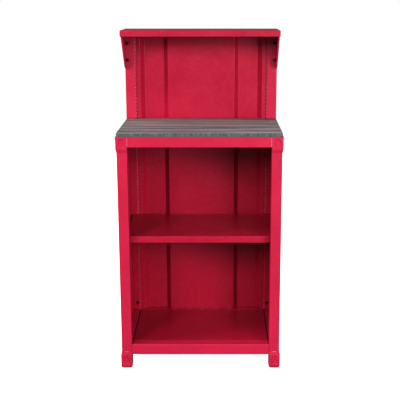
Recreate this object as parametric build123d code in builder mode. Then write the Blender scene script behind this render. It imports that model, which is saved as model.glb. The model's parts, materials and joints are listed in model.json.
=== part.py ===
from build123d import *
import math
import os

# Open workshop bench cabinet in the style of a shipping container: a welded square-tube frame with
# corner castings, corrugated sheet sides and back, two shelf trays, a wood-faced worktop and a
# raised back that carries an overhead shelf on two gussets. Millimetres, +Z up, the front faces -Y,
# and the origin is the centre of the footprint on the floor.

# Overall size
overall_width = 609.6
overall_depth = 406.4
overall_height = 1270.0
worktop_height = 914.4

# Frame tube and sheet
tube = 39.0
side_rail_width = 37.0
tube_wall = 1.5
tube_corner = 3.0
casting_proud = 3.4
panel_sheet = 1.0
shelf_sheet = 1.2
gusset_sheet = 1.5

frame_x = overall_width / 2 - casting_proud
frame_y = overall_depth / 2 - casting_proud
post_inner_x = frame_x - tube
post_inner_y = frame_y - tube

# Plastic glides under the feet
glide_size = 37.0
glide_corner = 5.0
glide_edge = 0.8
glide_stem_radius = 5.0
glide_stem_top = 13.0

# Heights of the frame
glide_height = 3.0
casting_plate = 5.0
cap_plate = 3.0
bottom_rail_low = 54.5
bottom_rail_top = 96.0
worktop_thickness = 15.0
worktop_low = worktop_height - worktop_thickness
top_rail_low = worktop_low - tube
hood_low_face = overall_height - shelf_sheet
rear_top_rail_height = 28.0
rear_top_rail_low = hood_low_face - rear_top_rail_height
rear_post_top = hood_low_face - 2.0
post_low = glide_height + casting_plate
foot_shoulder_low = 53.0
foot_shoulder_top = 66.0
cap_shoulder_low = 843.0
cap_shoulder_top = 853.0
shoulder_lip = 0.7
casting_corner = 3.5
foot_edge_round = 3.2
stem_clearance = 0.2
emboss_length = 33.0
emboss_width = 21.0
emboss_depth = 2.2
emboss_taper = 40.0
foot_emboss_height = 33.2
cap_emboss_height = 876.0

# Middles of the posts, the castings and the castings' thin lips
post_x = frame_x - tube / 2
post_y = frame_y - tube / 2
casting_size = tube + casting_proud
casting_x = overall_width / 2 - casting_size / 2
casting_y = overall_depth / 2 - casting_size / 2
lip_size = tube + shoulder_lip
lip_x = post_inner_x + lip_size / 2
lip_y = post_inner_y + lip_size / 2

# Corrugated back panels: flats at two levels joined by sloped faces, and a flange at each post
back_face_y = 168.0
back_rib_depth = 19.0
back_flange_y = 163.0
back_centre_flat = 133.0
back_rib_start = 148.5
back_rib_end = 226.5
back_outer_flat = 243.0
panel_bend = 2.0

# Corrugated side panels: two ribs pressed outwards, and flanges bolted to the posts
side_face_x = frame_x - 11.0
side_rib_depth = 9.0
side_flange_width = 24.4
side_centre_flat = 47.0
side_rib_start = 58.0
side_rib_end = 118.0
side_outer_flat = 129.0

# Shelf trays
mid_shelf_top = 515.0
mid_shelf_lip = 25.0
mid_shelf_half_width = 287.0
mid_shelf_half_depth = post_inner_y - panel_sheet
bottom_shelf_lip = 32.0
bottom_shelf_half_width = post_inner_x - 1.0
tray_bend = 3.0
tray_corner = 4.0

# Overhead shelf and its gussets
hood_front_y = 5.0
hood_lip = 23.0
hood_bend = 2.5
hood_corner = 4.0
gusset_low = 1116.0
gusset_nose_y = 132.0
gusset_nose_low = 1124.0
gusset_slope_flange = 7.0
gusset_post_flange = 18.0
gusset_top_flange = 15.0
gusset_bend = 1.4
gusset_shortest_bend = 100.0

# Worktop board
worktop_edge = 2.0
tongue_corner = 3.0
fit_gap = 0.3
underside_chamfer = 0.5
pilot_clearance = 0.5

# Fasteners: M6 button-head bolts with hexagon nuts, tapping screws for the board, blind rivets
bolt_radius = 3.0
bolt_hole_radius = 3.25
bolt_head_radius = 6.2
bolt_head_height = 3.3
bolt_socket_radius = 2.3
bolt_socket_depth = 2.0
nut_across_flats = 10.0
nut_height = 5.0
nut_bore_radius = 3.05
thread_beyond_nut = 2.0
screw_radius = 2.4
screw_hole_radius = 2.6
screw_head_radius = 4.8
screw_head_height = 2.8
screw_bite = 10.0
rivet_radius = 2.4
rivet_hole_radius = 2.5
rivet_bulb_radius = 3.3
rivet_tail = 6.0
rivet_head_radius = 4.8
rivet_head_height = 1.6

# Where the fasteners sit
panel_bolt_x = 273.4
panel_bolt_heights = (128.0, 830.0)
gusset_bolt_x = 292.2
gusset_bolt_heights = (1148.5, 1214.5)
mid_shelf_bolt_height = 502.0
bottom_shelf_bolt_x = 180.0
bottom_shelf_bolt_height = 76.0
hood_rivet_height = 1256.0
hood_rivet_pitch = 120.0
board_screw_spread_y = 110.0
board_screw_x = 150.0

forwards = (0, -1, 0)
backwards = (0, 1, 0)
downwards = (0, 0, -1)

os.makedirs("parts", exist_ok=True)


def save(piece, label):
    piece.part.label = label
    export_step(piece.part, f"parts/{label}.step")


def save_mirrored(piece, label, plane):
    """Saves the piece's mirror image, which is the same part on the other side of the frame."""
    with BuildPart() as twin:
        mirror(piece.part, about=plane)
    save(twin, label)
    return twin


def seats(points, outwards):
    """One plane for each fastener, on the face its head or nut bears on."""
    return [Plane(origin=point, z_dir=outwards) for point in points]


def frame_tube(plane, width, height, length, drillings=()):
    """A rectangular tube along a plane's normal. A drilling is a seat on the wall and a radius."""
    with BuildPart() as piece:
        with BuildSketch(plane):
            RectangleRounded(width, height, tube_corner)
            RectangleRounded(
                width - 2 * tube_wall,
                height - 2 * tube_wall,
                tube_corner - tube_wall,
                mode=Mode.SUBTRACT,
            )
        extrude(amount=length)
        for seat, radius in drillings:
            with Locations(seat):
                Hole(radius, depth=tube_wall)
    return piece


def bolt_holes(points, outwards):
    return [(seat, bolt_hole_radius) for seat in seats(points, outwards)]


# ---------------------------------------------------------------- fasteners


def bolt_group(label, bearing_planes, grip):
    """Button-head bolts, each with its head on a bearing plane and its thread past a nut."""
    length = grip + nut_height + thread_beyond_nut
    with BuildPart() as bolts:
        for seat in bearing_planes:
            section = Plane(origin=seat.origin, x_dir=seat.x_dir, z_dir=-seat.y_dir)
            with BuildSketch(section):
                with BuildLine():
                    Polyline(
                        (0, bolt_head_height),
                        (0, -length),
                        (bolt_radius, -length),
                        (bolt_radius, 0),
                        (bolt_head_radius, 0),
                        (bolt_head_radius, 0.25 * bolt_head_height),
                    )
                    ThreePointArc(
                        (bolt_head_radius, 0.25 * bolt_head_height),
                        (0.84 * bolt_head_radius, 0.75 * bolt_head_height),
                        (0.55 * bolt_head_radius, bolt_head_height),
                    )
                    Line((0.55 * bolt_head_radius, bolt_head_height), (0, bolt_head_height))
                make_face()
            revolve(axis=Axis(seat.origin, seat.z_dir))
            with BuildSketch(seat.offset(bolt_head_height)):
                RegularPolygon(bolt_socket_radius, 6)
            extrude(amount=-bolt_socket_depth, mode=Mode.SUBTRACT)
    save(bolts, label)


def nut_group(label, bearing_planes, grip):
    """Hexagon nuts behind the clamped walls, a grip's length below each bearing plane."""
    with BuildPart() as nuts:
        for seat in bearing_planes:
            with BuildSketch(seat.offset(-grip)):
                RegularPolygon(nut_across_flats / 2, 6, major_radius=False)
                Circle(nut_bore_radius, mode=Mode.SUBTRACT)
            extrude(amount=-nut_height)
    save(nuts, label)


def rivet_group(label, bearing_planes, grip):
    """Blind rivets, each with a low dome outside and its body swollen behind the walls."""
    tail = grip + rivet_tail
    with BuildPart() as rivets:
        for seat in bearing_planes:
            section = Plane(origin=seat.origin, x_dir=seat.x_dir, z_dir=-seat.y_dir)
            with BuildSketch(section):
                with BuildLine():
                    Polyline(
                        (0, rivet_head_height),
                        (0, -tail),
                        (rivet_radius, -tail),
                        (rivet_bulb_radius, -0.5 * (grip + tail)),
                        (rivet_bulb_radius, -grip),
                        (rivet_radius, -grip),
                        (rivet_radius, 0),
                        (rivet_head_radius, 0),
                    )
                    ThreePointArc(
                        (rivet_head_radius, 0),
                        (0.75 * rivet_head_radius, 0.7 * rivet_head_height),
                        (0.4 * rivet_head_radius, rivet_head_height),
                    )
                    Line((0.4 * rivet_head_radius, rivet_head_height), (0, rivet_head_height))
                make_face()
            revolve(axis=Axis(seat.origin, seat.z_dir))
            with BuildSketch(seat.offset(rivet_head_height)):
                Circle(0.5 * rivet_radius)
            extrude(amount=-0.6 * rivet_head_height, mode=Mode.SUBTRACT)
    save(rivets, label)


def screw_group(label, bearing_planes, length):
    """Pan-head tapping screws with a pointed end and a cross slot."""
    with BuildPart() as screws:
        for seat in bearing_planes:
            section = Plane(origin=seat.origin, x_dir=seat.x_dir, z_dir=-seat.y_dir)
            with BuildSketch(section):
                with BuildLine():
                    Polyline(
                        (0, screw_head_height),
                        (0, -length),
                        (screw_radius, screw_radius - length),
                        (screw_radius, 0),
                        (screw_head_radius, 0),
                        (screw_head_radius, 0.4 * screw_head_height),
                    )
                    ThreePointArc(
                        (screw_head_radius, 0.4 * screw_head_height),
                        (0.8 * screw_head_radius, 0.85 * screw_head_height),
                        (0.4 * screw_head_radius, screw_head_height),
                    )
                    Line((0.4 * screw_head_radius, screw_head_height), (0, screw_head_height))
                make_face()
            revolve(axis=Axis(seat.origin, seat.z_dir))
            with BuildSketch(seat.offset(screw_head_height)):
                Rectangle(screw_head_radius, 1.0)
                Rectangle(1.0, screw_head_radius)
            extrude(amount=-0.5 * screw_head_height, mode=Mode.SUBTRACT)
    save(screws, label)


# ---------------------------------------------------------------- frame

panel_bolt_points = [(panel_bolt_x, post_inner_y, z) for z in panel_bolt_heights]
mid_shelf_bolt_point = (panel_bolt_x, post_inner_y, mid_shelf_bolt_height)
gusset_bolt_points = [(gusset_bolt_x, post_inner_y, z) for z in gusset_bolt_heights]
post_bolt_points = panel_bolt_points + [mid_shelf_bolt_point]


def rear_posts():
    height = rear_post_top - post_low
    base = Plane.XY.offset(post_low).shift_origin(
        (frame_x - tube / 2, frame_y - tube / 2, post_low)
    )
    drillings = bolt_holes(post_bolt_points + gusset_bolt_points, forwards)
    right = frame_tube(base, tube, tube, height, drillings)
    save(right, "rear_right_post")
    save_mirrored(right, "rear_left_post", Plane.YZ)


def front_posts():
    height = worktop_low - cap_plate - post_low
    base = Plane.XY.offset(post_low).shift_origin(
        (frame_x - tube / 2, -frame_y + tube / 2, post_low)
    )
    points = [(x, -y, z) for x, y, z in post_bolt_points]
    right = frame_tube(base, tube, tube, height, bolt_holes(points, backwards))
    save(right, "front_right_post")
    save_mirrored(right, "front_left_post", Plane.YZ)


def cross_rail(label, y, low, high, drillings=()):
    """A rail along X between two posts, centred at the given Y."""
    start = Plane(origin=(-post_inner_x, y, (low + high) / 2), x_dir=(0, 1, 0), z_dir=(1, 0, 0))
    rail = frame_tube(start, tube, high - low, 2 * post_inner_x, drillings)
    save(rail, label)


def cross_rails():
    y = frame_y - tube / 2
    shelf_points = [
        (x, post_inner_y, bottom_shelf_bolt_height)
        for x in (-bottom_shelf_bolt_x, bottom_shelf_bolt_x)
    ]
    front_points = [(x, -y_face, z) for x, y_face, z in shelf_points]
    rear_holes = bolt_holes(shelf_points, forwards)
    front_holes = bolt_holes(front_points, backwards)
    cross_rail("front_bottom_rail", -y, bottom_rail_low, bottom_rail_top, front_holes)
    cross_rail("rear_bottom_rail", y, bottom_rail_low, bottom_rail_top, rear_holes)

    screw_holes = board_screw_holes([(x, -y) for x in (-board_screw_x, board_screw_x)])
    cross_rail("front_top_rail", -y, top_rail_low, worktop_low, screw_holes)
    cross_rail("rear_middle_rail", y, top_rail_low, worktop_low)

    hood_holes = [(seat, rivet_hole_radius) for seat in hood_rivet_seats(frame_y)]
    cross_rail("rear_top_rail", y, rear_top_rail_low, hood_low_face, hood_holes)


def board_screw_holes(places):
    """Holes for the board's screws, up through both walls of a top rail."""
    lower = seats([(x, y, top_rail_low) for x, y in places], downwards)
    upper = seats([(x, y, worktop_low - tube_wall) for x, y in places], downwards)
    return [(seat, screw_hole_radius) for seat in lower + upper]


def hood_rivet_seats(y):
    return seats([(hood_rivet_pitch * n, y, hood_rivet_height) for n in range(-2, 3)], backwards)


def side_rail_pair(name, low, high, drillings=()):
    x = frame_x - side_rail_width / 2
    start = Plane(origin=(x, -post_inner_y, (low + high) / 2), x_dir=(1, 0, 0), z_dir=(0, 1, 0))
    right = frame_tube(start, side_rail_width, high - low, 2 * post_inner_y, drillings)
    save(right, f"right_{name}")
    save_mirrored(right, f"left_{name}", Plane.YZ)


def side_rails():
    x = frame_x - side_rail_width / 2
    places = [(x, y) for y in (-board_screw_spread_y, 0, board_screw_spread_y)]
    side_rail_pair("bottom_side_rail", bottom_rail_low, bottom_rail_top)
    side_rail_pair("top_side_rail", top_rail_low, worktop_low, board_screw_holes(places))


# ---------------------------------------------------------------- corner castings and feet

def casting_at_rear_right(low, high, lip_height, emboss_height, pocket_low, pocket_high):
    """A casting round a post's two outer faces, which thins to a lip at its shoulder."""
    shoulder = high if lip_height > high else low
    with BuildPart() as casting:
        with BuildSketch(Plane((casting_x, casting_y, low))):
            RectangleRounded(casting_size, casting_size, casting_corner)
        extrude(amount=high - low)
        if low == glide_height:
            fillet(casting.faces().sort_by(Axis.Z)[0].edges(), foot_edge_round)
        with BuildSketch(Plane((casting_x, casting_y, shoulder))):
            RectangleRounded(casting_size, casting_size, casting_corner)
        with BuildSketch(Plane((lip_x, lip_y, lip_height))):
            RectangleRounded(lip_size, lip_size, casting_corner)
        loft()
        with BuildSketch(Plane((post_x, post_y, pocket_low))):
            Rectangle(tube, tube)
        extrude(amount=pocket_high - pocket_low, mode=Mode.SUBTRACT)
        outer_x = Plane(
            origin=(overall_width / 2, casting_y, emboss_height), x_dir=(0, 1, 0), z_dir=(1, 0, 0)
        )
        outer_y = Plane(
            origin=(casting_x, overall_depth / 2, emboss_height), x_dir=(1, 0, 0), z_dir=(0, 1, 0)
        )
        for face in (outer_x, outer_y):
            with BuildSketch(face):
                SlotOverall(emboss_length, emboss_width, rotation=90)
            extrude(amount=-emboss_depth, taper=emboss_taper, mode=Mode.SUBTRACT)
    return casting


def foot_castings():
    casting = casting_at_rear_right(
        glide_height,
        foot_shoulder_low,
        foot_shoulder_top,
        foot_emboss_height,
        post_low,
        foot_shoulder_top,
    )
    with BuildPart() as right:
        add(casting.part)
        with Locations(Plane(origin=(casting_x, casting_y, post_low))):
            Hole(glide_stem_radius + stem_clearance, depth=casting_plate)
    save(right, "rear_right_foot_casting")
    save_mirrored(right, "rear_left_foot_casting", Plane.YZ)
    front = save_mirrored(right, "front_right_foot_casting", Plane.XZ)
    save_mirrored(front, "front_left_foot_casting", Plane.YZ)


def top_castings():
    """The rear castings wrap posts that run on upwards; the front ones also cap their posts."""
    rear = casting_at_rear_right(
        cap_shoulder_top,
        worktop_low,
        cap_shoulder_low,
        cap_emboss_height,
        cap_shoulder_low,
        worktop_low,
    )
    save(rear, "rear_right_top_casting")
    save_mirrored(rear, "rear_left_top_casting", Plane.YZ)
    capped = casting_at_rear_right(
        cap_shoulder_top,
        worktop_low,
        cap_shoulder_low,
        cap_emboss_height,
        cap_shoulder_low,
        worktop_low - cap_plate,
    )
    front = save_mirrored(capped, "front_right_top_casting", Plane.XZ)
    save_mirrored(front, "front_left_top_casting", Plane.YZ)


def foot_glides():
    """Four plastic glides, each with a stem pushed up through its casting's plate."""
    with BuildPart() as glides:
        for x in (-casting_x, casting_x):
            for y in (-casting_y, casting_y):
                with BuildSketch(Plane((x, y, 0))):
                    RectangleRounded(glide_size, glide_size, glide_corner)
                extrude(amount=glide_height)
                with BuildSketch(Plane((x, y, glide_height))):
                    Circle(glide_stem_radius)
                extrude(amount=glide_stem_top - glide_height)
        chamfer(glides.faces().sort_by(Axis.Z)[0:4].edges(), glide_edge)
    save(glides, "foot_glides")


# ---------------------------------------------------------------- sheet panels


def corrugated_section(points):
    """Both halves of a section whose points are for the positive side, from its middle out."""
    return [(-u, v) for u, v in reversed(points)] + points


def back_panel(label, low, high):
    flange_x = post_inner_x - panel_sheet
    rib_y = back_face_y + back_rib_depth
    half = [
        (back_centre_flat, back_face_y),
        (back_rib_start, rib_y),
        (back_rib_end, rib_y),
        (back_outer_flat, back_face_y),
        (flange_x, back_face_y),
        (flange_x, back_flange_y),
    ]
    with BuildPart() as panel:
        with BuildSketch(Plane.XY.offset(low)):
            with BuildLine():
                FilletPolyline(*corrugated_section(half), radius=panel_bend)
                offset(amount=panel_sheet, side=Side.LEFT)
            make_face()
        extrude(amount=high - low)
    save(panel, label)


def side_panels():
    flange_y = post_inner_y - panel_sheet
    rib_x = side_face_x + side_rib_depth
    half = [
        (side_centre_flat, side_face_x),
        (side_rib_start, rib_x),
        (side_rib_end, rib_x),
        (side_outer_flat, side_face_x),
        (flange_y, side_face_x),
        (flange_y, side_face_x - side_flange_width),
    ]
    flange_points = [(panel_bolt_x, flange_y, z) for z in panel_bolt_heights]
    flange_points += [(panel_bolt_x, flange_y, mid_shelf_bolt_height)]
    front_points = [(x, -y, z) for x, y, z in flange_points]
    with BuildPart() as panel:
        with BuildSketch(Plane.XY.offset(bottom_rail_top)):
            with BuildLine():
                FilletPolyline(*[(x, y) for y, x in corrugated_section(half)], radius=panel_bend)
                offset(amount=panel_sheet, side=Side.RIGHT)
            make_face()
        extrude(amount=top_rail_low - bottom_rail_top)
        with Locations(*seats(flange_points, forwards), *seats(front_points, backwards)):
            Hole(bolt_hole_radius, depth=2 * panel_sheet)
    save(panel, "right_side_panel")
    save_mirrored(panel, "left_side_panel", Plane.YZ)


def tray(half_width, half_depth, centre_y, top, lip, bend, sheet, corner):
    """An inverted tray: a flat sheet with its four edges folded down and its corners welded."""
    with BuildPart() as piece:
        with BuildSketch(Plane((0, centre_y, top - lip))):
            RectangleRounded(2 * half_width, 2 * half_depth, corner)
        extrude(amount=lip)
        fillet(piece.faces().sort_by(Axis.Z)[-1].edges(), bend)
        offset(amount=-sheet, openings=piece.faces().sort_by(Axis.Z)[0])
    return piece


def save_drilled_tray(piece, label, points):
    """Drills a tray's back lip at the points and its front lip opposite them."""
    front_points = [(x, -y, z) for x, y, z in points]
    with BuildPart() as shelf:
        add(piece.part)
        with Locations(*seats(points, backwards), *seats(front_points, forwards)):
            Hole(bolt_hole_radius, depth=2 * shelf_sheet)
    save(shelf, label)


def mid_shelf():
    piece = tray(
        mid_shelf_half_width,
        mid_shelf_half_depth,
        0,
        mid_shelf_top,
        mid_shelf_lip,
        tray_bend,
        shelf_sheet,
        tray_corner,
    )
    lip_y = mid_shelf_half_depth
    points = [(x, lip_y, mid_shelf_bolt_height) for x in (-panel_bolt_x, panel_bolt_x)]
    save_drilled_tray(piece, "mid_shelf", points)


def bottom_shelf():
    piece = tray(
        bottom_shelf_half_width,
        post_inner_y,
        0,
        bottom_rail_top,
        bottom_shelf_lip,
        tray_bend,
        shelf_sheet,
        tray_corner,
    )
    points = [
        (x, post_inner_y, bottom_shelf_bolt_height)
        for x in (-bottom_shelf_bolt_x, bottom_shelf_bolt_x)
    ]
    save_drilled_tray(piece, "bottom_shelf", points)


# ---------------------------------------------------------------- worktop


def worktop():
    """A board flush with the posts, with a tongue that reaches the back panel between them."""
    tongue_x = post_inner_x - panel_sheet - fit_gap
    tongue_y = back_face_y - fit_gap
    board_back = post_inner_y - fit_gap
    side_x = frame_x - side_rail_width / 2
    side_places = [
        (x, y)
        for x in (-side_x, side_x)
        for y in (-board_screw_spread_y, 0, board_screw_spread_y)
    ]
    front_places = [(x, -post_y) for x in (-board_screw_x, board_screw_x)]
    with BuildPart() as board:
        with BuildSketch(Plane.XY.offset(worktop_low)):
            with BuildLine():
                Polyline(
                    (-frame_x, -frame_y),
                    (frame_x, -frame_y),
                    (frame_x, board_back),
                    (tongue_x, board_back),
                    (tongue_x, tongue_y),
                    (-tongue_x, tongue_y),
                    (-tongue_x, board_back),
                    (-frame_x, board_back),
                    close=True,
                )
            make_face()
        extrude(amount=worktop_thickness)
        upright = board.edges().filter_by(Axis.Z).group_by(Axis.Y)
        fillet(upright[0], worktop_edge)
        fillet(upright[-1], tongue_corner)
        rim = board.faces().sort_by(Axis.Z)[-1].edges()
        fillet(rim, worktop_edge)
        bottom = board.faces().sort_by(Axis.Z)[0].edges()
        chamfer(bottom, underside_chamfer)
        pilots = [(x, y, worktop_low) for x, y in side_places + front_places]
        with Locations(*seats(pilots, downwards)):
            Hole(screw_hole_radius, depth=screw_bite + pilot_clearance)
    save(board, "worktop")
    heads = [(x, y, top_rail_low) for x, y in side_places + front_places]
    screw_group("worktop_screws", seats(heads, downwards), tube + screw_bite)


# ---------------------------------------------------------------- overhead shelf


def overhead_shelf():
    half_width = frame_x + shelf_sheet
    back_y = frame_y + shelf_sheet
    half_depth = (back_y - hood_front_y) / 2
    centre_y = (back_y + hood_front_y) / 2
    piece = tray(
        half_width,
        half_depth,
        centre_y,
        overall_height,
        hood_lip,
        hood_bend,
        shelf_sheet,
        hood_corner,
    )
    with BuildPart() as shelf:
        add(piece.part)
        with Locations(*hood_rivet_seats(back_y)):
            Hole(rivet_hole_radius, depth=2 * shelf_sheet)
    save(shelf, "overhead_shelf")


def gussets():
    """Sheet plates flush with the posts, flanged along the post, the slope and the shelf."""
    top = hood_low_face
    front_y = hood_front_y + shelf_sheet + hood_bend
    slope = math.atan2(top - gusset_nose_low, gusset_nose_y - front_y)
    step = gusset_sheet / math.sin(slope)
    top_flange_y = front_y + 3 * hood_bend
    plate = [
        (front_y, top - hood_bend),
        (front_y + hood_bend, top),
        (post_inner_y, top),
        (post_inner_y, gusset_low),
        (gusset_nose_y, gusset_nose_low),
    ]
    slope_flange = [
        (front_y, top - hood_bend),
        (gusset_nose_y, gusset_nose_low),
        (gusset_nose_y + step, gusset_nose_low),
        (front_y + step, top - hood_bend),
    ]
    post_flange = [
        (post_inner_y, top),
        (post_inner_y, gusset_low),
        (post_inner_y - gusset_sheet, gusset_low),
        (post_inner_y - gusset_sheet, top),
    ]
    top_flange = [
        (top_flange_y, top),
        (post_inner_y, top),
        (post_inner_y, top - gusset_sheet),
        (top_flange_y, top - gusset_sheet),
    ]
    outer = Plane(origin=(frame_x, 0, 0), x_dir=(0, 1, 0), z_dir=(1, 0, 0))
    with BuildPart() as gusset:
        for outline, width in (
            (plate, gusset_sheet),
            (slope_flange, gusset_slope_flange),
            (post_flange, gusset_post_flange),
            (top_flange, gusset_top_flange),
        ):
            with BuildSketch(outer):
                with BuildLine():
                    Polyline(*outline, close=True)
                make_face()
            extrude(amount=-width)
        bends = gusset.faces().sort_by(Axis.X)[-1].edges()
        fillet(bends.filter_by(lambda edge: edge.length > gusset_shortest_bend), gusset_bend)
        flange_y = post_inner_y - gusset_sheet
        points = [(gusset_bolt_x, flange_y, z) for z in gusset_bolt_heights]
        with Locations(*seats(points, forwards)):
            Hole(bolt_hole_radius, depth=2 * gusset_sheet)
    save(gusset, "right_gusset")
    save_mirrored(gusset, "left_gusset", Plane.YZ)


# ---------------------------------------------------------------- bolts and nuts


def both_sides(points):
    return [(sign * x, y, z) for x, y, z in points for sign in (-1, 1)]


def bolts_and_nuts():
    flange_y = post_inner_y - panel_sheet
    panel_rear = seats(
        both_sides([(panel_bolt_x, flange_y, z) for z in panel_bolt_heights]), forwards
    )
    panel_front = seats(
        both_sides([(panel_bolt_x, -flange_y, z) for z in panel_bolt_heights]), backwards
    )
    grip = panel_sheet + tube_wall
    bolt_group("side_panel_bolts", panel_rear + panel_front, grip)
    nut_group("side_panel_nuts", panel_rear + panel_front, grip)

    lip_y = mid_shelf_half_depth - shelf_sheet
    shelf_rear = seats(both_sides([(panel_bolt_x, lip_y, mid_shelf_bolt_height)]), forwards)
    shelf_front = seats(both_sides([(panel_bolt_x, -lip_y, mid_shelf_bolt_height)]), backwards)
    grip = shelf_sheet + panel_sheet + tube_wall
    bolt_group("mid_shelf_bolts", shelf_rear + shelf_front, grip)
    nut_group("mid_shelf_nuts", shelf_rear + shelf_front, grip)

    lip_y = post_inner_y - shelf_sheet
    base_point = (bottom_shelf_bolt_x, lip_y, bottom_shelf_bolt_height)
    base_front_point = (bottom_shelf_bolt_x, -lip_y, bottom_shelf_bolt_height)
    base_rear = seats(both_sides([base_point]), forwards)
    base_front = seats(both_sides([base_front_point]), backwards)
    grip = shelf_sheet + tube_wall
    bolt_group("bottom_shelf_bolts", base_rear + base_front, grip)
    nut_group("bottom_shelf_nuts", base_rear + base_front, grip)

    gusset_face = post_inner_y - gusset_sheet
    gusset_seats = seats(
        both_sides([(gusset_bolt_x, gusset_face, z) for z in gusset_bolt_heights]), forwards
    )
    grip = gusset_sheet + tube_wall
    bolt_group("gusset_bolts", gusset_seats, grip)
    nut_group("gusset_nuts", gusset_seats, grip)

    hood_seats = hood_rivet_seats(frame_y + shelf_sheet)
    rivet_group("overhead_shelf_rivets", hood_seats, shelf_sheet + tube_wall)


front_posts()
rear_posts()
cross_rails()
side_rails()
foot_castings()
top_castings()
foot_glides()
back_panel("lower_back_panel", bottom_rail_top, top_rail_low)
back_panel("upper_back_panel", worktop_low, rear_top_rail_low)
side_panels()
mid_shelf()
bottom_shelf()
worktop()
overhead_shelf()
gussets()
bolts_and_nuts()
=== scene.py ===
import json
import math
import random

import bmesh
import bpy
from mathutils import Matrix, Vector, noise


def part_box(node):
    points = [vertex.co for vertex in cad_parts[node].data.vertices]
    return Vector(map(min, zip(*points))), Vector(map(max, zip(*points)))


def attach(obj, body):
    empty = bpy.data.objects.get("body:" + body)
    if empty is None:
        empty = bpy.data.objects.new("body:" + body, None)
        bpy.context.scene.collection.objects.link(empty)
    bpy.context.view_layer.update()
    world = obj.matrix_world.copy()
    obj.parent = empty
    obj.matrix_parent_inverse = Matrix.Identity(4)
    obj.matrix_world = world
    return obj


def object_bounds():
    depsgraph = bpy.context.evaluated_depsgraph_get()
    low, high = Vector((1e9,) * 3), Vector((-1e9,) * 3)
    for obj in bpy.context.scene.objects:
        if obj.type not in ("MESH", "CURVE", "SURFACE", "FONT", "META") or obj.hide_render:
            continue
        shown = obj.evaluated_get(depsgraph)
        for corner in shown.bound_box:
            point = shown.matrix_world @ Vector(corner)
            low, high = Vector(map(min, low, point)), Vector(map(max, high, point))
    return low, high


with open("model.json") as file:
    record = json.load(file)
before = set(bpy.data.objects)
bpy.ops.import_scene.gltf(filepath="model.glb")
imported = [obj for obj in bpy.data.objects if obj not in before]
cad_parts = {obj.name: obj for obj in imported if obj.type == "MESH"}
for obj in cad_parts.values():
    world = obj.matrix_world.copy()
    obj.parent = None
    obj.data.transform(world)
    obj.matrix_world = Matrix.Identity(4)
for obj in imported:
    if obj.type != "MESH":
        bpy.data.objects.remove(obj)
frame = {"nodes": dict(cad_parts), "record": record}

cad_low, cad_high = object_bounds()
centre = (cad_low + cad_high) / 2
nodes = frame["nodes"]
slot_of = {row["node"]: row["material_slot"] for row in frame["record"]["subparts"]}
MM = 0.001
BOARD_GAP = 0.3 * MM  # between the worktop's back edge and the back panels


# ---------------------------------------------------------------- camera and light

SENSOR = 36.0
LENS = 73.7
CAMERA_DISTANCE = 3.12
CAMERA_HEIGHT = 1.389
CAMERA_SIDE = 0.0676
CAMERA_PITCH = math.radians(13.07)
CAMERA_SHIFT = (-0.0452, -0.03)
SURROUND_STRENGTH = 0.27
VIEW_GAMMA = 0.77
FLOOR_REACH = 5.0


def make_camera():
    """Eye above the overhead shelf and a little to the right, looking straight back and down."""
    data = bpy.data.cameras.new("camera")
    data.sensor_width = SENSOR
    data.lens = LENS
    data.shift_x, data.shift_y = CAMERA_SHIFT
    camera = bpy.data.objects.new("camera", data)
    camera.location = (centre.x + CAMERA_SIDE, centre.y - CAMERA_DISTANCE, CAMERA_HEIGHT)
    camera.rotation_euler = (math.pi / 2 - CAMERA_PITCH, 0, 0)
    bpy.context.scene.collection.objects.link(camera)
    bpy.context.scene.camera = camera


def soft_box(name, azimuth, elevation, distance, side, watts):
    """A square soft light aimed at the object; azimuth 0 is in front and positive is to the right."""
    around, above = math.radians(azimuth), math.radians(elevation)
    outward = Vector(
        (
            math.sin(around) * math.cos(above),
            -math.cos(around) * math.cos(above),
            math.sin(above),
        )
    )
    data = bpy.data.lights.new(name, "AREA")
    data.shape = "SQUARE"
    data.size = side
    data.energy = watts
    lamp = bpy.data.objects.new(name, data)
    lamp.location = centre + outward * distance
    lamp.rotation_euler = outward.to_track_quat("Z", "Y").to_euler()
    bpy.context.scene.collection.objects.link(lamp)
    return lamp


def make_lights():
    soft_box("key_left", -32, 23, 6.5, 1.8, 218)
    soft_box("key_right", 33, 11, 6.5, 2.6, 305)
    soft_box("front_top", 6, 25, 6.5, 2.0, 82)
    soft_box("high_left", -75, 40, 6.5, 1.8, 225)
    for back in (
        soft_box("back_right", 150, 20, 4.5, 2.6, 62),
        soft_box("back_left", -140, 12, 4.5, 2.6, 62),
    ):
        back.visible_glossy = False  # or they glare off the top of the overhead shelf


def make_world():
    """A dim even surround for the light, and plain white behind the object."""
    world = bpy.data.worlds.new("studio")
    world.use_nodes = True
    tree = world.node_tree
    surround = tree.nodes["Background"]
    surround.inputs["Color"].default_value = (1, 1, 1, 1)
    surround.inputs["Strength"].default_value = SURROUND_STRENGTH
    backdrop = tree.nodes.new("ShaderNodeBackground")
    backdrop.inputs["Color"].default_value = (1, 1, 1, 1)
    seen = tree.nodes.new("ShaderNodeLightPath")
    choice = tree.nodes.new("ShaderNodeMixShader")
    tree.links.new(seen.outputs["Is Camera Ray"], choice.inputs[0])
    tree.links.new(surround.outputs[0], choice.inputs[1])
    tree.links.new(backdrop.outputs[0], choice.inputs[2])
    tree.links.new(choice.outputs[0], tree.nodes["World Output"].inputs["Surface"])
    bpy.context.scene.world = world
    bpy.context.scene.view_settings.view_transform = "Standard"
    bpy.context.scene.view_settings.gamma = VIEW_GAMMA


# ---------------------------------------------------------------- materials


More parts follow.
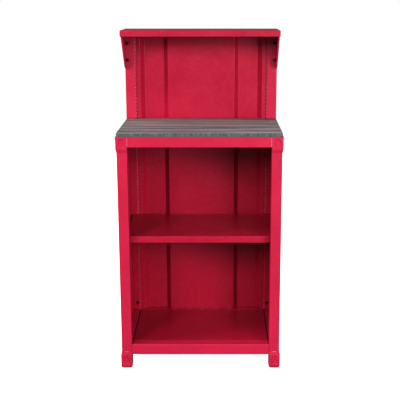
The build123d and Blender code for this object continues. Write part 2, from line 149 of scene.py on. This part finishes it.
class Graph:
    """A short way to write a node graph: each call adds a node and returns its output."""

    def __init__(self, name):
        self.material = bpy.data.materials.new(name)
        self.material.use_nodes = True
        self.tree = self.material.node_tree
        self.shader = self.tree.nodes["Principled BSDF"]
        self.place = self.tree.nodes.new("ShaderNodeTexCoord").outputs["Object"]
        self.geometry = self.tree.nodes.new("ShaderNodeNewGeometry")

    def feed(self, socket, value):
        if isinstance(value, bpy.types.NodeSocket):
            self.tree.links.new(value, socket)
        else:
            socket.default_value = value

    def stretch(self, scale, shift=(0, 0, 0)):
        """The object's coordinates, in metres, scaled along each axis."""
        node = self.tree.nodes.new("ShaderNodeMapping")
        node.inputs["Scale"].default_value = scale
        node.inputs["Location"].default_value = shift
        self.feed(node.inputs["Vector"], self.place)
        return node.outputs["Vector"]

    def noise(self, scale, detail=3, roughness=0.5, vector=None, distortion=0.0):
        node = self.tree.nodes.new("ShaderNodeTexNoise")
        self.feed(node.inputs["Vector"], vector or self.place)
        node.inputs["Scale"].default_value = scale
        node.inputs["Detail"].default_value = detail
        node.inputs["Roughness"].default_value = roughness
        node.inputs["Distortion"].default_value = distortion
        return node.outputs["Fac"]

    def spread(self, value, low, high, to_low=0.0, to_high=1.0):
        node = self.tree.nodes.new("ShaderNodeMapRange")
        self.feed(node.inputs["Value"], value)
        node.inputs["From Min"].default_value = low
        node.inputs["From Max"].default_value = high
        node.inputs["To Min"].default_value = to_low
        node.inputs["To Max"].default_value = to_high
        return node.outputs["Result"]

    def maths(self, operation, a, b=0.0):
        node = self.tree.nodes.new("ShaderNodeMath")
        node.operation = operation
        self.feed(node.inputs[0], a)
        self.feed(node.inputs[1], b)
        return node.outputs["Value"]

    def vector_maths(self, operation, a, b):
        node = self.tree.nodes.new("ShaderNodeVectorMath")
        node.operation = operation
        self.feed(node.inputs[0], a)
        self.feed(node.inputs[1], b)
        return node.outputs["Value" if operation == "DOT_PRODUCT" else "Vector"]

    def mix(self, factor, a, b, blend="MIX"):
        node = self.tree.nodes.new("ShaderNodeMix")
        node.data_type = "RGBA"
        node.blend_type = blend
        self.feed(node.inputs["Factor"], factor)
        self.feed(node.inputs["A"], a)
        self.feed(node.inputs["B"], b)
        return node.outputs["Result"]

    def ramp(self, value, stops):
        node = self.tree.nodes.new("ShaderNodeValToRGB")
        self.feed(node.inputs["Fac"], value)
        elements = node.color_ramp.elements
        while len(elements) < len(stops):
            elements.new(0.5)
        for element, (position, colour) in zip(elements, stops):
            element.position = position
            element.color = colour
        return node.outputs["Color"]

    def bump(self, height, distance, strength=1.0, normal=None):
        node = self.tree.nodes.new("ShaderNodeBump")
        self.feed(node.inputs["Height"], height)
        node.inputs["Distance"].default_value = distance
        node.inputs["Strength"].default_value = strength
        if normal is not None:
            self.feed(node.inputs["Normal"], normal)
        return node.outputs["Normal"]

    def rounded(self, radius):
        node = self.tree.nodes.new("ShaderNodeBevel")
        node.samples = 4
        node.inputs["Radius"].default_value = radius
        return node.outputs["Normal"]

    def edges(self, radius):
        """1 along sharp edges and 0 on flat stretches."""
        rounded = self.rounded(radius)
        alike = self.vector_maths("DOT_PRODUCT", rounded, self.geometry.outputs["True Normal"])
        return self.spread(alike, 0.995, 0.86)

    def crevice(self, reach):
        """1 in joints, folds and pressed corners, and 0 in the open."""
        node = self.tree.nodes.new("ShaderNodeAmbientOcclusion")
        node.samples = 6
        node.only_local = False
        node.inputs["Distance"].default_value = reach
        return self.spread(node.outputs["AO"], 0.93, 0.35)

    def facing(self, axis):
        """How far the surface faces along an axis, from -1 to 1."""
        normal = self.geometry.outputs["True Normal"]
        return self.vector_maths("DOT_PRODUCT", normal, axis)

    def finish(self, colour, roughness, normal, **constants):
        self.feed(self.shader.inputs["Base Color"], colour)
        self.feed(self.shader.inputs["Roughness"], roughness)
        self.feed(self.shader.inputs["Normal"], normal)
        for name, value in constants.items():
            self.shader.inputs[name.replace("_", " ")].default_value = value
        return self.material


def grey(value):
    return (value, value, value, 1)


def red_powder_coat(name, base, deep, fold):
    """Satin-gloss red powder coat: orange peel, uneven tone, paler edges (partly thinner film, partly
    a painted highlight), and painted shade in crevices.

    Edges are shaded as if rounded to the radius called fold.
    """
    g = Graph(name)
    thin_film_and_edge_highlight = (0.60, 0.034, 0.095, 1)
    primer = (0.16, 0.05, 0.05, 1)
    broad = g.noise(3.5, detail=3)
    colour = g.mix(g.spread(broad, 0.35, 0.65), deep, base)
    cloud = g.noise(60, detail=4, roughness=0.6)
    colour = g.mix(g.spread(cloud, 0.42, 0.75, 0, 0.25), colour, thin_film_and_edge_highlight)
    edge = g.edges(1.2 * MM)
    patchy = g.spread(g.noise(240, detail=3), 0.35, 0.65)
    # Edges painted paler: partly thinner film, partly a painted highlight along every edge.
    colour = g.mix(g.maths("MULTIPLY", edge, g.maths("MULTIPLY", patchy, 0.75)), colour, thin_film_and_edge_highlight)
    chip_spots = g.spread(g.noise(420, detail=2), 0.70, 0.74)
    chips = g.maths("MULTIPLY", chip_spots, edge)
    colour = g.mix(g.maths("MULTIPLY", chips, 0.6), colour, primer)
    speck = g.spread(g.noise(1500, detail=1), 0.66, 0.80, 0, 0.18)
    colour = g.mix(speck, colour, thin_film_and_edge_highlight)
    gloss = g.spread(g.noise(14, detail=4), 0.3, 0.7, 0.30, 0.40)
    roughness = g.maths("ADD", gloss, g.maths("MULTIPLY", speck, 0.4))
    # Painted shade: joints, folds and pressed recesses are darkened toward a deep red wherever the
    # occlusion mask finds them hemmed in.
    painted_crevice_shade = g.maths("MULTIPLY", g.crevice(7 * MM), 0.75)
    colour = g.mix(painted_crevice_shade, colour, (0.16, 0.004, 0.012, 1))
    normal = g.bump(g.noise(5, detail=1), 0.6 * MM, 0.5, g.rounded(fold))
    normal = g.bump(g.noise(700, detail=2), 0.05 * MM, 0.5, normal)
    return g.finish(colour, roughness, normal, Specular_IOR_Level=0.4)


def weathered_laminate():
    """Grey-brown timber print: long streaks, fine fibres, dark pores and a darker cut edge."""
    g = Graph("weathered_laminate")
    dark = (0.070, 0.062, 0.062, 1)
    middle = (0.245, 0.227, 0.229, 1)
    pale = (0.520, 0.490, 0.490, 1)
    sway = g.noise(1.0, detail=2, vector=g.stretch((3, 9, 9)))
    bent = g.vector_maths("ADD", g.stretch((1.5, 62, 62)), g.mix(sway, grey(0), (0, 1.2, 0, 1)))
    streak = g.noise(1.0, detail=7, roughness=0.62, vector=bent, distortion=0.25)
    figure = g.ramp(streak, [(0.38, dark), (0.49, middle), (0.62, pale)])
    fibre = g.noise(1.0, detail=4, roughness=0.7, vector=g.stretch((9, 420, 420)))
    colour = g.mix(g.spread(fibre, 0.35, 0.7, 0, 0.45), figure, pale)
    pore = g.noise(1.0, detail=3, roughness=0.6, vector=g.stretch((26, 700, 700), (3, 1, 2)))
    colour = g.mix(g.spread(pore, 0.58, 0.70, 0, 0.75), colour, dark)
    tone = g.noise(1.0, detail=2, vector=g.stretch((2.2, 5, 5), (0.4, 0.7, 0)))
    colour = g.mix(g.spread(tone, 0.35, 0.65, 0.0, 0.35), colour, dark)

    band_dark = (0.046, 0.050, 0.051, 1)
    band_pale = (0.20, 0.205, 0.21, 1)
    mottle = g.noise(1.0, detail=4, roughness=0.6, vector=g.stretch((260, 260, 60)))
    band = g.ramp(mottle, [(0.28, band_dark), (0.72, band_pale)])
    upright = g.spread(g.maths("ABSOLUTE", g.facing((0, 0, 1))), 0.75, 0.35)
    colour = g.mix(upright, colour, band)
    edge = g.maths("MULTIPLY", g.edges(0.8 * MM), 0.35)
    colour = g.mix(edge, colour, band_pale)

    roughness = g.spread(fibre, 0.3, 0.7, 0.80, 0.66)
    normal = g.bump(fibre, 0.12 * MM, 0.5, g.rounded(0.8 * MM))
    normal = g.bump(pore, 0.15 * MM, 0.4, normal)
    return g.finish(colour, roughness, normal, Specular_IOR_Level=0.15)


def black_oxide():
    """Blackened steel with worn corners."""
    g = Graph("black_oxide_steel")
    bloom = g.noise(900, detail=4)
    colour = g.mix(g.spread(bloom, 0.35, 0.7), (0.006, 0.007, 0.008, 1), (0.022, 0.024, 0.024, 1))
    edge = g.edges(0.5 * MM)
    colour = g.mix(g.maths("MULTIPLY", edge, 0.5), colour, (0.14, 0.14, 0.14, 1))
    roughness = g.spread(bloom, 0.3, 0.7, 0.30, 0.48)
    normal = g.bump(bloom, 0.05 * MM, 0.4, g.rounded(0.25 * MM))
    return g.finish(colour, roughness, normal, Metallic=0.35)


def zinc_plate():
    """Bright zinc with a faint passivated tint and fine scratches."""
    g = Graph("zinc_plated_steel")
    tint = g.noise(300, detail=3)
    colour = g.mix(tint, (0.50, 0.50, 0.47, 1), (0.66, 0.66, 0.66, 1))
    scratch = g.noise(1.0, detail=3, vector=g.stretch((400, 4000, 900)))
    colour = g.mix(g.spread(scratch, 0.6, 0.75, 0, 0.5), colour, (0.34, 0.34, 0.33, 1))
    colour = g.mix(g.maths("MULTIPLY", g.edges(0.4 * MM), 0.5), colour, (0.8, 0.8, 0.8, 1))
    roughness = g.spread(scratch, 0.35, 0.7, 0.28, 0.45)
    normal = g.bump(scratch, 0.03 * MM, 0.4, g.rounded(0.2 * MM))
    return g.finish(colour, roughness, normal, Metallic=1.0)


def black_plastic():
    """Moulded plastic with a fine grain, scuffed where it meets the floor."""
    g = Graph("moulded_black_plastic")
    grain = g.noise(1800, detail=2)
    scuff = g.noise(1.0, detail=4, vector=g.stretch((90, 700, 90)))
    colour = g.mix(g.spread(scuff, 0.5, 0.75), (0.012, 0.012, 0.013, 1), (0.06, 0.06, 0.06, 1))
    colour = g.mix(g.maths("MULTIPLY", g.edges(0.6 * MM), 0.5), colour, (0.09, 0.09, 0.09, 1))
    roughness = g.spread(scuff, 0.4, 0.75, 0.42, 0.62)
    normal = g.bump(grain, 0.06 * MM, 0.5, g.rounded(0.4 * MM))
    return g.finish(colour, roughness, normal)


def pale_floor():
    """Near-white, with some light of its own so that it stays pale away from the lamps."""
    g = Graph("pale_floor")
    drift = g.noise(1.2, detail=3)
    colour = g.mix(drift, grey(0.78), grey(0.82))
    normal = g.bump(g.noise(90, detail=2), 0.2 * MM, 0.2)
    g.feed(g.shader.inputs["Emission Color"], (1, 1, 1, 1))
    return g.finish(colour, 0.7, normal, Emission_Strength=0.82)


materials = {
    "red_paint": red_powder_coat(
        "red_powder_coat", (0.53, 0.022, 0.076, 1), (0.47, 0.018, 0.064, 1), 1.4 * MM
    ),
    "worktop_laminate": weathered_laminate(),
    "black_steel": black_oxide(),
    "zinc_steel": zinc_plate(),
    "black_plastic": black_plastic(),
}
# Painted shade: the same red paint made darker for the sheets, which stand further back from the
# light.
sheet_paint_painted_shade = red_powder_coat(
    "red_powder_coat_on_sheet_painted_shade", (0.44, 0.011, 0.050, 1), (0.39, 0.008, 0.041, 1), 2.2 * MM
)
# Painted highlight: the weld beads get a pale pink paint so that they show as light specks, lines and
# glints.
weld_paint_painted_highlight = red_powder_coat(
    "red_powder_coat_on_welds_painted_highlight", (0.78, 0.34, 0.40, 1), (0.62, 0.12, 0.18, 1), 0.5 * MM
)
SHEETS = (
    "lower_back_panel",
    "upper_back_panel",
    "mid_shelf",
    "bottom_shelf",
    "overhead_shelf",
    "left_side_panel",
    "right_side_panel",
)


# ---------------------------------------------------------------- welds


def add_piece(name, mesh_data, material):
    piece = bpy.data.objects.new(name, mesh_data)
    piece.data.materials.append(material)
    bpy.context.scene.collection.objects.link(piece)
    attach(piece, "root")


def bead_rings(mesh, start, end, radius, dice, ripple=1.7 * MM, sides=10):
    """One closed, rippled bead from start to end, rounded off at both ends."""
    ring_pitch = 0.45 * MM
    ripple_depth = 0.14
    wander = 0.25
    wander_per_metre = 160
    along = end - start
    length = along.length
    forward = along.normalized()
    across = forward.orthogonal().normalized()
    other = forward.cross(across)
    count = max(8, int(length / ring_pitch))
    phase = dice.uniform(0, math.tau)
    rings = []
    for step in range(1, count):
        s = step / count
        end_round = math.sqrt(1 - (2 * s - 1) ** 8)
        wave = 1 + ripple_depth * math.sin(math.tau * s * length / ripple + phase)
        drift = 1 + wander * noise.noise(Vector((s * length * wander_per_metre, phase, 0)))
        r = radius * end_round * wave * drift
        middle = start + along * s
        rings.append(
            [
                mesh.verts.new(
                    middle
                    + across * r * math.cos(math.tau * k / sides)
                    + other * r * math.sin(math.tau * k / sides)
                )
                for k in range(sides)
            ]
        )
    for ring, after in zip(rings, rings[1:]):
        for k in range(sides):
            mesh.faces.new((ring[k], ring[(k + 1) % sides], after[(k + 1) % sides], after[k]))
    for ring, tip, flip in ((rings[0], start, True), (rings[-1], end, False)):
        point = mesh.verts.new(tip)
        for k in range(sides):
            corners = (ring[k], ring[(k + 1) % sides], point)
            mesh.faces.new(corners[::-1] if flip else corners)


def beads(name, runs, radius, seed):
    """Several weld beads in one piece, each run a start and an end."""
    dice = random.Random(seed)
    mesh = bmesh.new()
    for start, end in runs:
        bead_rings(mesh, Vector(start), Vector(end), radius, dice)
    bmesh.ops.recalc_face_normals(mesh, faces=mesh.faces)
    data = bpy.data.meshes.new(name)
    mesh.to_mesh(data)
    mesh.free()
    for polygon in data.polygons:
        polygon.use_smooth = True
    add_piece(name, data, weld_paint_painted_highlight)


def tack_runs(along, fixed, low, high, pitch, length):
    """Short runs at a pitch along X or Z; fixed holds the other two, in the order x, y, z."""
    gaps = max(1, round((high - low) / pitch))
    runs = []
    for n in range(gaps + 1):
        middle = low + (high - low) * n / gaps
        first, last = middle - length / 2, middle + length / 2
        if along == "x":
            runs.append(((first, fixed[0], fixed[1]), (last, fixed[0], fixed[1])))
        else:
            runs.append(((fixed[0], fixed[1], first), (fixed[0], fixed[1], last)))
    return runs


def casting_welds():
    """Beads in the step between each top casting's inner wall and the rail beside it."""
    radius, stand_off, inset, end_gap = 1.5 * MM, 0.3 * MM, 0.4 * MM, 2 * MM
    for node in ("front_top_rail", "rear_middle_rail"):
        low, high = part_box(node)
        face = low.y - stand_off if node == "front_top_rail" else high.y + stand_off
        runs = []
        for x in (low.x + inset, high.x - inset):
            runs.append(((x, face, low.z + end_gap), (x, face, high.z - end_gap)))
        beads(f"{node}_welds", runs, radius, 11)


def foot_welds():
    """A bead on each foot casting's shoulder, where the post stands up out of it."""
    radius, stand_off, lift, half_length = 1.6 * MM, 0.9 * MM, 0.2 * MM, 9 * MM
    for corner, outward in (
        ("front_left", -1),
        ("front_right", -1),
        ("rear_left", 1),
        ("rear_right", 1),
    ):
        low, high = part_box(f"{corner}_foot_casting")
        post_low, post_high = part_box(f"{corner}_post")
        face = post_low.y if outward < 0 else post_high.y
        middle = (post_low.x + post_high.x) / 2
        y = face + outward * stand_off
        z = high.z + lift
        run = ((middle - half_length, y, z), (middle + half_length, y, z))
        beads(f"{corner}_foot_weld", [run], radius, 31)


def panel_welds():
    """Tacks along the lower back panel's foot, and broken seams up both panels' flanges."""
    half_row, end_gap, inset = 115 * MM, 8 * MM, 0.7 * MM
    board_low, board_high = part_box("worktop")
    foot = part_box("lower_back_panel")[0].z
    corner = (board_high.y + BOARD_GAP - 0.2 * MM, foot + 0.4 * MM)
    tacks = tack_runs("x", corner, -half_row, half_row, 58 * MM, 9 * MM)
    beads("lower_back_panel_tacks", tacks, 1.1 * MM, 21)
    for node, seed in (("lower_back_panel", 26), ("upper_back_panel", 27)):
        low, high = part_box(node)
        seen_from = max(low.z, board_high.z) if node == "upper_back_panel" else low.z
        seams = []
        for x in (low.x + inset, high.x - inset):
            flange = (x, low.y - 0.1 * MM)
            bottom, top = seen_from + end_gap, high.z - end_gap
            seams += tack_runs("z", flange, bottom, top, 15 * MM, 8 * MM)
        beads(f"{node}_seams", seams, 1.4 * MM, seed)


# ---------------------------------------------------------------- the scene

def dress_nodes():
    """The sheets look darker than the tubes, so they get a darker copy of the same paint: painted
    shade for the light falling off toward the back.
    """
    for name, node in nodes.items():
        node.data.materials.clear()
        node.data.materials.append(sheet_paint_painted_shade if name in SHEETS else materials[slot_of[name]])


def make_floor():
    """A floor that looks pale but throws no light back up at the object."""
    mesh = bmesh.new()
    bmesh.ops.create_grid(mesh, x_segments=2, y_segments=2, size=FLOOR_REACH)
    data = bpy.data.meshes.new("floor")
    mesh.to_mesh(data)
    mesh.free()
    floor = bpy.data.objects.new("floor", data)
    floor.location = (0, 0, cad_low.z)
    floor.data.materials.append(pale_floor())
    floor.visible_diffuse = False
    floor.visible_glossy = False
    bpy.context.scene.collection.objects.link(floor)


make_camera()
make_world()
make_lights()
make_floor()
dress_nodes()
casting_welds()
foot_welds()
panel_welds()
